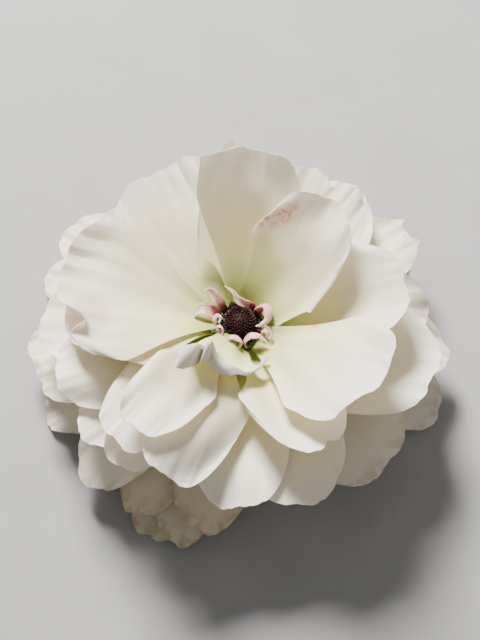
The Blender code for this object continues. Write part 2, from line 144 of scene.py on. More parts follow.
OUTER_PETALS = (
    ("outer_upper_left", 136, 36.5, 28, 15, 10, 20, {}),
    ("outer_right_upper", 8, 37.5, 26, 5, 12, 22, {}),
    ("outer_upper_right", 52, 38.5, 31, 14, 12, 22, {}),
    ("outer_left_upper", 147, 43.0, 27, 3, 24, 22, {}),
    ("outer_right_corner", 33, 41.5, 27, 3, 20, 22, dict(
        notches=((-0.35, -0.05, 0.07), (0.25, -0.05, 0.07)))),
    ("outer_left_low", -166, 41.0, 24, 0, 20, 22, {}),
    ("outer_left_mid", -178, 43.4, 24, -4, 24, 22, {}),
    ("outer_right", -4, 42.2, 28, -3, 24, 22, {}),
    ("outer_bottom_right", -45, 39.5, 38, 1, 20, 22, {}),
    ("outer_lower_left", -136, 42.8, 26, -8, 26, 22, {}),
    # The droop finish paints these petals a darker beige, as painted shade
    ("droop_front", -100, 40.3, 24, -8, 26, 22, dict(finish="droop", crumple=0.25)),
    ("droop_left", -121, 41.5, 22, -10, 26, 22, dict(finish="droop", crumple=0.35)),
    ("outer_left", 155, 47.0, 25, -17, 26, 22, {}),
    ("outer_far_right", 36, 44.0, 24, -17, 26, 22, {}),
    ("outer_right_low", -16, 44.5, 26, -17, 26, 22, {}),
    ("outer_left_droop", -161, 43.4, 24, -17, 26, 22, dict(crumple=0.2)),
    ("droop_tip", -107, 44.0, 20, -18, 24, 24, dict(finish="droop", crumple=0.35)),
    ("droop_lobe", -115, 45.0, 22, -17, 26, 24, dict(finish="droop", crumple=0.3)),
    ("outer_top", 78, 36.0, 30, -10, 24, 22, {}),
    ("outer_top_left", 106, 37.0, 30, -15, 24, 22, {}),
)


# Waves of a petal's rim: their height as a share of its length, and half-waves from side to side
RIM_WAVES = ((0.012, 2.2), (0.004, 4.7), (0.0022, 9.3), (0.0012, 15.0))
MIDLINE_STEPS = 201
ROLLED_SIDE = 0.38  # how much of each half of a petal its rolled side takes up


# ---- shape functions ----
def ease(t):
    """0 below 0, 1 above 1, with level ends between."""
    t = np.clip(t, 0.0, 1.0)
    return t * t * (3 - 2 * t)


def summed(values, step):
    """Running integral of values along their last axis, 0 at the first one."""
    between = (values[..., 1:] + values[..., :-1]) / 2
    return np.concatenate([np.zeros_like(values[..., :1]), np.cumsum(between, -1)], -1) * step


def sampled(values, share):
    """Each column's values, which are evenly spaced along it, at a share of the way along it."""
    last = values.shape[1] - 1
    cell = np.clip(share * last, 0, last - 1).astype(int)
    part = share * last - cell
    column = np.arange(len(values))[None, :]
    return values[column, cell] * (1 - part) + values[column, cell + 1] * part


def blade(spec, rows, columns):
    """The middle surface of a petal as rows x columns points, from its claw to its rim.

    Its midline runs outwards and up from the receptacle, and each cross-section is an arc
    that lifts the sides.
    """
    random = np.random.default_rng(spec["seed"])
    phase = random.uniform(0, 2 * math.pi, 4)
    fine = random.uniform(0, 2 * math.pi, 10)
    along = np.linspace(0, 1, rows)[:, None]
    across = np.linspace(-1, 1, columns)[None, :]

    # Outline: the corners fall back from the tip, and the rim is a little uneven
    fall = 1 - np.sqrt(1 - np.abs(across) ** spec["square"])
    reach = 1 - spec["taper"] * (1 + spec["skew"] * across) * fall + spec["slant"] * across
    for (high, waves), begins in zip(RIM_WAVES, (*phase[:2], *fine[:2])):
        reach = reach + high * np.sin(waves * math.pi * across + begins)
    for place, depth, wide in spec["notches"]:
        reach = reach - depth * np.exp(-(((across - place) / wide) ** 2))
    inner = ease(1.2 * along)
    share = along * (reach * inner + 1 - inner)
    growth = np.sin(0.5 * math.pi * np.clip(along / spec["shoulder"], 0, 1)) ** 1.15
    narrowing = 1 - 0.16 * ease((along - 0.7) / 0.3)
    half_width = spec["width"] / 2 * (spec["claw"] + (1 - spec["claw"]) * growth) * narrowing

    # Lengthwise: the slope runs from the claw's to the rim's, and is summed up from the claw
    steps = np.linspace(0, 1, MIDLINE_STEPS)
    turned = spec["flare"] + 0 * across.T
    start = 1 - 1.2 * ROLL_SHARE - spec["early"] + 0 * across.T
    for place, wide, degrees, nearer in spec["flares"]:
        bump = np.exp(-(((across.T - place) / wide) ** 2))
        turned = turned + degrees * bump
        start = start - nearer * bump
    slope = spec["rise"] + spec["bend"] * (0.5 - steps) - turned * ease((steps - start) / ROLL_SHARE)
    slope = np.radians(slope)
    stride = spec["length"] / (len(steps) - 1)
    radius = spec["base_radius"] + sampled(summed(np.cos(slope), stride), share)
    height = spec["base_height"] + sampled(summed(np.sin(slope), stride), share)
    tilt = sampled(slope, share)

    # Cross-section: how steeply it rises sideways, summed up from the midline
    arc = np.radians(spec["cup"]) * (1.15 - 0.35 * share)
    sides = np.radians(spec["roll"])
    rising = arc * across
    rolled = ease(1.6 * share - 0.3)
    rising = rising + sides[1] * ease((across - 1 + ROLLED_SIDE) / ROLLED_SIDE) * rolled
    rising = rising - sides[0] * ease((-across - 1 + ROLLED_SIDE) / ROLLED_SIDE) * rolled
    step = 2 / (columns - 1)
    sideways = summed(np.cos(rising), step)
    lift = summed(np.sin(rising), step)
    middle_column = columns // 2
    sideways = half_width * (sideways - sideways[:, middle_column, None])
    lift = half_width * (lift - lift[:, middle_column, None])
    rim_wave = np.sin(spec["ripples"] * math.pi * across + phase[2])
    side_wave = np.abs(across) ** 3 * ease(2 * share) * np.sin(3.2 * math.pi * share + phase[3])
    lift = lift + spec["ripple"] * (share**3 * rim_wave + 0.6 * side_wave)

    # Finer relief: folds from claw to rim, ruffles at the rim, dents
    fold = np.sin(spec["pleats"] * math.pi * across + fine[2] + 0.8 * np.sin(2 * share + fine[3]))
    fold = fold + 0.45 * np.sin(2.3 * spec["pleats"] * math.pi * across + fine[4])
    fold = fold * (0.65 + 0.35 * np.sin(1.6 * math.pi * across + fine[5] + 2.5 * share))
    deepening = 0.14 * ease(1.7 * share - 0.14) + 0.86 * ease((share - 0.5) / 0.48)
    lift = lift + spec["pleat"] * fold * deepening
    edge = ease((share - 0.55) / 0.45) ** 2
    ruffle = np.sin(5.3 * math.pi * across + fine[5]) + 0.6 * np.sin(9.1 * math.pi * across + fine[6])
    lift = lift + spec["ruffle"] * edge * ruffle
    dents = np.sin(2.7 * math.pi * share + fine[7]) * np.sin(2.1 * math.pi * across + fine[8])
    dents = dents + 0.6 * np.sin(5.1 * math.pi * share + 3.4 * across + fine[9])
    lift = lift + spec["crumple"] * ease(1.5 * share - 0.2) * dents

    azimuth = np.radians(spec["azimuth"] + spec["lean"] * share**1.5)
    flat = np.zeros_like(azimuth)
    out = np.stack([np.cos(azimuth), np.sin(azimuth), flat], -1)
    clockwise = np.stack([np.sin(azimuth), -np.cos(azimuth), flat], -1)
    up = np.array([0, 0, 1])
    facing = up * np.cos(tilt)[..., None] - out * np.sin(tilt)[..., None]
    middle = out * radius[..., None] + up * height[..., None]
    return middle + clockwise * sideways[..., None] + facing * lift[..., None]


def body(distance):
    """The share of its full thickness that a petal has this far from the origin."""
    full = ease((distance - CLAW_DISTANCE) / (BLADE_DISTANCE - CLAW_DISTANCE))
    return CLAW_SHARE + (1 - CLAW_SHARE) * full


def to_polar(points):
    """Distance from the origin, azimuth and polar angle from +Z."""
    distance = np.maximum(np.linalg.norm(points, axis=-1), 1e-6)
    azimuth = np.mod(np.arctan2(points[..., 1], points[..., 0]), 2 * math.pi)
    return distance, azimuth, np.arccos(np.clip(points[..., 2] / distance, -1, 1))


def from_polar(distance, azimuth, polar):
    flat = distance * np.sin(polar)
    return np.stack([flat * np.cos(azimuth), flat * np.sin(azimuth), distance * np.cos(polar)], -1)


def normals(points):
    """Unit normals of a grid of points, on a petal's inner side."""
    normal = np.cross(np.gradient(points, axis=1), np.gradient(points, axis=0))
    return normal / np.maximum(np.linalg.norm(normal, axis=-1, keepdims=True), 1e-9)


def refine(points, times):
    """The same surface with times as many cells each way, by straight interpolation."""
    for _ in range(2):
        last = len(points) - 1
        place = np.linspace(0, last, last * times + 1)
        cell = np.minimum(place.astype(int), last - 1)
        share = (place - cell)[:, None, None]
        points = (points[cell] * (1 - share) + points[cell + 1] * share).swapaxes(0, 1)
    return points


def windows(values, reach, edge, gather):
    """gather over the window of reach rows and columns to each side of every value."""
    for axis in (0, 1):
        pad = [(0, 0), (0, 0)]
        pad[axis] = (reach[axis], reach[axis])
        padded = np.pad(values, pad, mode=edge)
        values = gather(np.lib.stride_tricks.sliding_window_view(padded, 2 * reach[axis] + 1, axis), -1)
    return values


class Stack:
    """What the petals placed so far take up, as the smallest polar angle over distance and azimuth."""

    def __init__(self):
        self.rings = int(MOST_DISTANCE / DISTANCE_STEP) + 1
        self.lowest = np.full((self.rings, AZIMUTH_CELLS), math.pi)

    def limit(self, distance, azimuth):
        ring = np.clip(distance / DISTANCE_STEP, 0, self.rings - 1.001).astype(int)
        cell = (azimuth / (2 * math.pi) * AZIMUTH_CELLS).astype(int) % AZIMUTH_CELLS
        after = (cell + 1) % AZIMUTH_CELLS
        inner = np.minimum(self.lowest[ring, cell], self.lowest[ring, after])
        outer = np.minimum(self.lowest[ring + 1, cell], self.lowest[ring + 1, after])
        return np.minimum(inner, outer)

    def add(self, points):
        distance, azimuth, polar = to_polar(refine(points, 2))
        ring = np.minimum(np.round(distance / DISTANCE_STEP).astype(int), self.rings - 1)
        cell = np.round(azimuth / (2 * math.pi) * AZIMUTH_CELLS).astype(int) % AZIMUTH_CELLS
        np.minimum.at(self.lowest, (ring, cell), polar)

    def settle(self, points):
        """Swings points up, smoothly, until the surface clears everything below it."""
        for _ in range(SETTLE_TURNS):
            distance, azimuth, polar = to_polar(points)
            downwards = np.stack(
                [np.cos(polar) * np.cos(azimuth), np.cos(polar) * np.sin(azimuth), -np.sin(polar)], -1
            )
            lean = np.clip(np.abs((normals(points) * downwards).sum(-1)), 0.45, 1)
            spacing = PETAL_SPACING * body(distance)
            limit = self.limit(distance, azimuth) - spacing / (np.maximum(distance, 3) * lean)
            ground = np.arccos(np.clip((GROUND_Z + GROUND_CLEARANCE) / distance, -1, 1))
            needed = np.maximum(0, polar - np.minimum(limit, ground)) * distance
            if needed.max() < SETTLE_TOLERANCE:
                break
            reach = [SWING_ROUNDS * side for side in SWING_REACH]
            swing = windows(needed, reach, "constant", np.max)
            for _ in range(SWING_ROUNDS):
                swing = windows(swing, SWING_REACH, "edge", np.mean)
            points = from_polar(distance, azimuth, polar - swing / distance)
        return points


# ---- meshes ----
SHARP_ANGLE = 60  # where two faces meet at more than this, the edge between them is sharp


def add_mesh(name, points, faces, material, uvs=None):
    """A new piece, from points in millimetres about the flower's own origin."""
    mesh = bpy.data.meshes.new(name)
    mesh.from_pydata(((np.asarray(points) + ORIGIN) * MM).tolist(), [], faces)
    mesh.materials.append(material)
    if uvs is not None:
        layer = mesh.uv_layers.new(name="blade")
        corners = np.zeros(len(mesh.loops), np.int32)
        mesh.loops.foreach_get("vertex_index", corners)
        layer.data.foreach_set("uv", np.asarray(uvs, np.float32)[corners].ravel())
    mesh.shade_smooth()
    mesh.set_sharp_from_angle(angle=math.radians(SHARP_ANGLE))
    piece = bpy.data.objects.new(name, mesh)
    bpy.context.collection.objects.link(piece)
    return piece


def sheet(middle, thickness):
    """Points, faces and coordinates of a closed thin solid around a grid of points."""
    rows, columns = middle.shape[:2]
    half = normals(middle) * np.broadcast_to(thickness, (rows, columns))[..., None] / 2
    points = np.concatenate([(middle + half).reshape(-1, 3), (middle - half).reshape(-1, 3)])
    back = rows * columns
    index = np.arange(back).reshape(rows, columns)
    a, b = index[:-1, :-1].ravel(), index[:-1, 1:].ravel()
    c, d = index[1:, 1:].ravel(), index[1:, :-1].ravel()
    faces = np.concatenate([np.stack([a, b, c, d], -1), back + np.stack([a, d, c, b], -1)]).tolist()
    rim = np.concatenate([index[0, :], index[1:, -1], index[-1, -2::-1], index[-2:0:-1, 0]])
    after = np.roll(rim, -1)
    faces += np.stack([after, rim, back + rim, back + after], -1).tolist()
    v, u = np.meshgrid(np.linspace(0, 1, rows), np.linspace(0, 1, columns), indexing="ij")
    uvs = np.stack([u.ravel(), v.ravel()], -1)
    return points, faces, np.concatenate([uvs, uvs])


def finished(piece, node):
    """The piece rides on the flower's only body and stands for one CAD node."""
    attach(piece, "root")
    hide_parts(node)


# ---- materials ----
class Paint:
    """A material whose nodes are added one after another."""

    def __init__(self, name):
        self.material = bpy.data.materials.new(name)
        self.material.use_nodes = True
        self.tree = self.material.node_tree
        self.shader = self.tree.nodes["Principled BSDF"]
        self.output = self.tree.nodes["Material Output"]

    def node(self, kind, values=None, **settings):
        node = self.tree.nodes.new("ShaderNode" + kind)
        for key, value in settings.items():
            setattr(node, key, value)
        for socket, value in (values or {}).items():
            self.put(value, node.inputs[socket])
        return node

    def put(self, value, socket):
        if isinstance(value, bpy.types.NodeSocket):
            self.tree.links.new(value, socket)
        elif isinstance(value, tuple) and socket.type == "RGBA":
            socket.default_value = (*value, 1)
        else:
            socket.default_value = value

    def math(self, operation, first, second=0.0):
        return self.node("Math", {0: first, 1: second}, operation=operation).outputs[0]

    def ranged(self, value, low, high, new_low=0.0, new_high=1.0):
        """value, eased from between low and high to between new_low and new_high."""
        values = {
            "Value": value, "From Min": low, "From Max": high, "To Min": new_low, "To Max": new_high,
        }
        return self.node("MapRange", values, interpolation_type="SMOOTHSTEP").outputs[0]

    def noise(self, vector, scale, detail=3.0, roughness=0.5):
        values = {"Vector": vector, "Scale": scale, "Detail": detail, "Roughness": roughness}
        return self.node("TexNoise", values).outputs["Fac"]

    def mix(self, share, first, second):
        node = self.node("Mix", data_type="RGBA")
        self.put(share, node.inputs[0])
        self.put(first, node.inputs[6])
        self.put(second, node.inputs[7])
        return node.outputs[2]

    def ramp(self, value, stops):
        node = self.node("ValToRGB", {"Fac": value})
        elements = node.color_ramp.elements
        while len(elements) < len(stops):
            elements.new(0.5)
        for element, (place, colour) in zip(elements, stops):
            element.position = place
            element.color = (*colour, 1)
        return node.outputs["Color"]

    def place(self):
        """Where a point lies on the flower, in metres."""
        return self.node("TexCoord").outputs["Object"]

    def blade(self):
        """Where a point lies on its petal: across and along, each from 0 to 1."""
        parts = self.node("SeparateXYZ", {0: self.node("UVMap", uv_map="blade").outputs["UV"]})
        return parts.outputs["X"], parts.outputs["Y"]

    def strands(self, across, along, count, length):
        """A place drawn out along the petal, for marks that run from its claw to its rim."""
        sides = {0: self.math("MULTIPLY", across, count), 1: self.math("MULTIPLY", along, length)}
        return self.node("CombineXYZ", sides).outputs[0]

    def shaken(self, value, noise, most):
        """value, moved up and down by up to half of most."""
        return self.math("ADD", value, self.math("MULTIPLY", self.math("SUBTRACT", noise, 0.5), most))

    def pass_light(self, share, colour, relief):
        """Lets a share of the light through, as thin tissue does."""
        passed = self.node("BsdfTranslucent", {"Color": colour, "Normal": relief})
        both = self.node("MixShader", {0: share, 1: self.shader.outputs[0], 2: passed.outputs[0]})
        self.put(both.outputs[0], self.output.inputs["Surface"])

    def patch(self, across, along, middle, shrink):
        """1 in a round patch on a petal, 0 outside it: shrink is 1 over its reach each way."""
        squares = [
            self.math("POWER", self.math("MULTIPLY", self.math("SUBTRACT", value, at), less), 2.0)
            for value, at, less in zip((across, along), middle, shrink)
        ]
        return self.ranged(self.math("ADD", *squares), 0.15, 1.0, 1.0, 0.0)

    def bump(self, height, distance, strength=1.0, normal=None):
        values = {"Height": height, "Distance": distance, "Strength": strength}
        if normal is not None:
            values["Normal"] = normal
        return self.node("Bump", values).outputs["Normal"]


VEIN_COLOUR = (0.60, 0.57, 0.38)
CREAM_COLOUR = (0.74, 0.68, 0.50)
BLUSH_COLOUR = (0.72, 0.40, 0.40)
WORN_COLOUR = (0.46, 0.32, 0.16)
SPOT_COLOUR = (0.80, 0.54, 0.44)
STROKE_COLOUR = (0.62, 0.24, 0.20)
PASSED_COLOUR = (0.92, 0.84, 0.58)
BLUSH_MIDDLE = (0.33, 0.80)  # across and along the petal, each from 0 to 1
SPOT_MIDDLE = (0.12, 0.76)


def petal_paint(name, stops, through, aged=0.0, blush=0.0, spot=False):
    """White petal tissue: green at the claw, fine veins fanning out, light that passes through."""
    paint = Paint(name)
    across, along = paint.blade()
    place = paint.place()
    patches = paint.noise(place, 110, 3)
    colour = paint.ramp(paint.shaken(along, patches, 0.16), stops)

    # Veins and finer streaks run from claw to rim
    fan = paint.strands(across, along, 34.0, 1.6)
    drift = paint.node("VectorMath", {0: fan, 1: place}, operation="ADD").outputs[0]
    veins = paint.noise(drift, 1.0, 4, 0.6)
    streaks = paint.noise(paint.strands(across, along, 120.0, 5.0), 1.0, 2, 0.5)
    between = paint.math("SUBTRACT", 1.0, paint.ranged(veins, 0.36, 0.62))
    colour = paint.mix(paint.math("MULTIPLY", between, 0.06), colour, VEIN_COLOUR)
    colour = paint.mix(paint.ranged(patches, 0.52, 0.75, 0.0, 0.16), colour, CREAM_COLOUR)

    if blush:
        rim = paint.math("MULTIPLY", paint.ranged(along, 0.80, 1.0), paint.ranged(patches, 0.40, 0.62))
        fold = paint.patch(across, along, BLUSH_MIDDLE, (6.0, 7.0))
        rosy = paint.math("ADD", paint.math("MULTIPLY", rim, 0.35), paint.math("MULTIPLY", fold, 0.8))
        colour = paint.mix(paint.math("MULTIPLY", rosy, blush), colour, BLUSH_COLOUR)
    if aged:
        grain = paint.noise(place, 420, 4)
        worn = paint.math("MULTIPLY", paint.ranged(along, 0.86, 1.0), paint.ranged(grain, 0.42, 0.60))
        colour = paint.mix(paint.math("MULTIPLY", worn, aged), colour, WORN_COLOUR)
    if spot:
        # A dried rosy patch of short strokes at one side of the blade
        near = paint.patch(across, along, SPOT_MIDDLE, (5.5, 5.5))
        colour = paint.mix(paint.math("MULTIPLY", near, 0.4), colour, SPOT_COLOUR)
        grain = paint.noise(place, 900, 3, 0.7)
        strokes = paint.math("MULTIPLY", near, paint.ranged(grain, 0.50, 0.60))
        colour = paint.mix(paint.math("MULTIPLY", strokes, 0.75), colour, STROKE_COLOUR)

    shader = paint.shader
    paint.put(colour, shader.inputs["Base Color"])
    paint.put(paint.ranged(streaks, 0.3, 0.7, 0.42, 0.58), shader.inputs["Roughness"])
    shader.inputs["Specular IOR Level"].default_value = 0.35

    # Heights are in metres: veins, streaks, and the cells of the skin
    relief = paint.bump(veins, 0.00030, 0.30)
    relief = paint.bump(streaks, 0.00008, 0.20, relief)
    relief = paint.bump(paint.noise(place, 2600, 2), 0.00004, 0.4, relief)
    paint.put(relief, shader.inputs["Normal"])
    paint.pass_light(through, paint.mix(0.35, colour, PASSED_COLOUR), relief)
    return paint.material


# Places along a petal, from its claw to its rim, and their colours
INNER_STOPS = (
    (0.00, (0.42, 0.50, 0.12)),
    (0.12, (0.70, 0.74, 0.33)),
    (0.30, (0.89, 0.87, 0.56)),
    (0.58, (0.94, 0.885, 0.72)),
    (0.86, (0.95, 0.915, 0.84)),
    (1.00, (0.95, 0.905, 0.88)),
)
# The rolled petal: painted shade, greyer from the middle of its length out to its rim, where the rim
# turns down away from the light
ROLLED_SHADE_STOPS = INNER_STOPS[:3] + (
    (0.56, (0.88, 0.84, 0.70)),
    (0.70, (0.66, 0.64, 0.60)),
    (1.00, (0.60, 0.585, 0.56)),
)
OUTER_STOPS = (
    (0.00, (0.34, 0.40, 0.12)),
    (0.14, (0.62, 0.63, 0.32)),
    (0.34, (0.84, 0.80, 0.57)),
    (0.64, (0.90, 0.855, 0.72)),
    (1.00, (0.92, 0.88, 0.82)),
)
# Drooping petals: a darker, duller beige along their whole length, as painted shade where they lie in
# the flower's shadow
DROOP_SHADE_STOPS = (
    (0.00, (0.24, 0.30, 0.08)),
    (0.14, (0.50, 0.52, 0.24)),
    (0.40, (0.70, 0.66, 0.46)),
    (0.70, (0.76, 0.70, 0.54)),
    (1.00, (0.74, 0.66, 0.50)),
)

PETAL_PAINTS = {
    "inner": petal_paint("petal_white", INNER_STOPS, 0.42),
    # rolled: painted shade, a greyer turned-down rim
    "rolled": petal_paint("petal_white_rolled_painted_shade", ROLLED_SHADE_STOPS, 0.36),
    "spotted": petal_paint("petal_white_spotted", INNER_STOPS, 0.42, spot=True),
    "blushed": petal_paint("petal_white_blushed", INNER_STOPS, 0.42, blush=0.5),
    "outer": petal_paint("petal_outer_white", OUTER_STOPS, 0.40, aged=0.35),
    # droop: painted shade as a darker beige, and worn brown rims
    "droop": petal_paint("petal_outer_aged_and_shaded", DROOP_SHADE_STOPS, 0.38, aged=0.6),
}


def green_paint(name, low, high, grain, down):
    """Green tissue with streaks along it, and a slight down that catches the light."""
    paint = Paint(name)
    place = paint.place()
    patches = paint.noise(place, grain, 4)
    stretched = paint.node("Mapping", {"Vector": place, "Scale": (1.0, 1.0, 0.12)}).outputs[0]
    streaks = paint.noise(stretched, 2400, 2)
    tone = paint.math("ADD", paint.math("MULTIPLY", patches, 0.7), paint.math("MULTIPLY", streaks, 0.3))
    paint.put(paint.ramp(tone, ((0.30, low), (0.68, high))), paint.shader.inputs["Base Color"])
    paint.shader.inputs["Roughness"].default_value = 0.5
    paint.shader.inputs["Sheen Weight"].default_value = down
    paint.put(paint.bump(streaks, 0.0002, 0.6), paint.shader.inputs["Normal"])
    return paint.material


PETALOID_STOPS = (
    (0.00, (0.16, 0.04, 0.04)),
    (0.20, (0.50, 0.20, 0.18)),
    (0.42, (0.80, 0.47, 0.44)),
    (0.72, (0.90, 0.73, 0.68)),
    (1.00, (0.91, 0.83, 0.64)),
)
PETALOID_VEIN_COLOUR = (0.66, 0.30, 0.32)


def petaloid_paint():
    """Pale cream at the tip, rosy lower down and along its veins, dark at its foot."""
    paint = Paint("petaloid_pink")
    across, along = paint.blade()
    place = paint.place()
    patches = paint.noise(place, 700, 3)
    colour = paint.ramp(paint.shaken(along, patches, 0.7), PETALOID_STOPS)
    veins = paint.noise(paint.strands(across, along, 14.0, 2.0), 1.0, 3)
    colour = paint.mix(paint.ranged(veins, 0.48, 0.7, 0.0, 0.45), colour, PETALOID_VEIN_COLOUR)
    paint.put(colour, paint.shader.inputs["Base Color"])
    paint.shader.inputs["Roughness"].default_value = 0.42
    relief = paint.bump(veins, 0.0002, 0.6)
    paint.put(relief, paint.shader.inputs["Normal"])
    paint.pass_light(0.25, colour, relief)
    return paint.material


def dark_paint(name, low, high, grain):
    """Near-black purple tissue with a dull, uneven surface."""
    paint = Paint(name)
    patches = paint.noise(paint.place(), grain, 3)
    paint.put(paint.ramp(patches, ((0.35, low), (0.72, high))), paint.shader.inputs["Base Color"])
    paint.shader.inputs["Roughness"].default_value = 0.65
    paint.shader.inputs["Specular IOR Level"].default_value = 0.3
    paint.put(paint.bump(patches, 0.0002, 0.6), paint.shader.inputs["Normal"])
    return paint.material


# ---- petals on the flower ----
def add_petals():
    """Stacks the petals from the outermost in, so that each one lies on those behind it."""
    whorls = ((INNER_WHORL, INNER_PETALS), (MIDDLE_WHORL, MIDDLE_PETALS), (OUTER_WHORL, OUTER_PETALS))
    specs = []
    for whorl, petals in whorls:
        for name, azimuth, length, width, rise, bend, cup, extra in petals:
            shape = dict(azimuth=azimuth, length=length, width=width, rise=rise, bend=bend, cup=cup)
            specs.append({**PETAL, **whorl, **shape, **extra, "name": name, "seed": len(specs) + 1})
    rows, columns = PETAL_GRID
    rim = ease(np.linspace(1, 0, rows) / RIM_TAPER)[:, None]
    side = ease((1 - np.abs(np.linspace(-1, 1, columns))) / SIDE_TAPER)[None, :]
    stack = Stack()
    for spec in reversed(specs):
        middle = stack.settle(blade(spec, rows, columns))
        stack.add(middle)
        thickness = RIM_THICKNESS + (PETAL_THICKNESS - RIM_THICKNESS) * rim * side
        points, faces, uvs = sheet(middle, thickness)
        node = "petal_" + spec["name"]
        piece = add_mesh(node + "_blade", points, faces, PETAL_PAINTS[spec["finish"]], uvs)
        finished(piece, node)


# ---- the curled petaloids ----
PETALOID_GRID = (41, 25)  # points along a petaloid, points across it
PETALOID_THICKNESS = 0.24
FLUTES = 5  # how many folds run along a petaloid
FLUTE_DEPTH = 0.08


def smooth_path(knots, count):
    """A smooth curve through the knots (Catmull-Rom)."""
    knots = np.asarray(knots, float)
    padded = np.concatenate([[2 * knots[0] - knots[1]], knots, [2 * knots[-1] - knots[-2]]])
    place = np.linspace(0, len(knots) - 1, count)
    cell = np.minimum(place.astype(int), len(knots) - 2)
    t = (place - cell)[:, None]
    p0, p1, p2, p3 = (padded[cell + k] for k in range(4))
    square = 2 * p0 - 5 * p1 + 4 * p2 - p3
    cube = 3 * p1 - p0 - 3 * p2 + p3
    return 0.5 * (2 * p1 + (p2 - p0) * t + square * t**2 + cube * t**3)


def ribbon(knots, facings, width, hollow):
    """The middle surface of a curled strip that follows knots, with its inner side towards facings."""
    rows, columns = PETALOID_GRID
    path = smooth_path(knots, rows)
    facing = smooth_path(facings, rows)
    forward = np.gradient(path, axis=0)
    forward /= np.linalg.norm(forward, axis=-1, keepdims=True)
    facing -= (facing * forward).sum(-1, keepdims=True) * forward
    facing /= np.linalg.norm(facing, axis=-1, keepdims=True)
    side = np.cross(facing, forward)
    along = np.linspace(0, 1, rows)[:, None]
    across = np.linspace(-1, 1, columns)[None, :]
    half = width / 2 * (0.55 + 0.45 * np.sin(math.pi * np.clip(along * 1.3, 0, 0.9)))
    half = half * (1 - 0.85 * ease((along - 0.62) / 0.38))
    half = half * (1 + 0.06 * np.sin(19 * along + 3 * across) + 0.05 * np.sin(31 * along - across))
    turn = np.radians(hollow) * across
    sideways = half * np.sin(turn) / np.radians(hollow)
    lift = half * (1 - np.cos(turn)) / np.radians(hollow)
    lift = lift + FLUTE_DEPTH * np.cos(FLUTES * math.pi * across + 2.5 * along) * ease(2.2 * along - 0.2)
    return path[:, None] - side[:, None] * sideways[..., None] + facing[:, None] * lift[..., None]


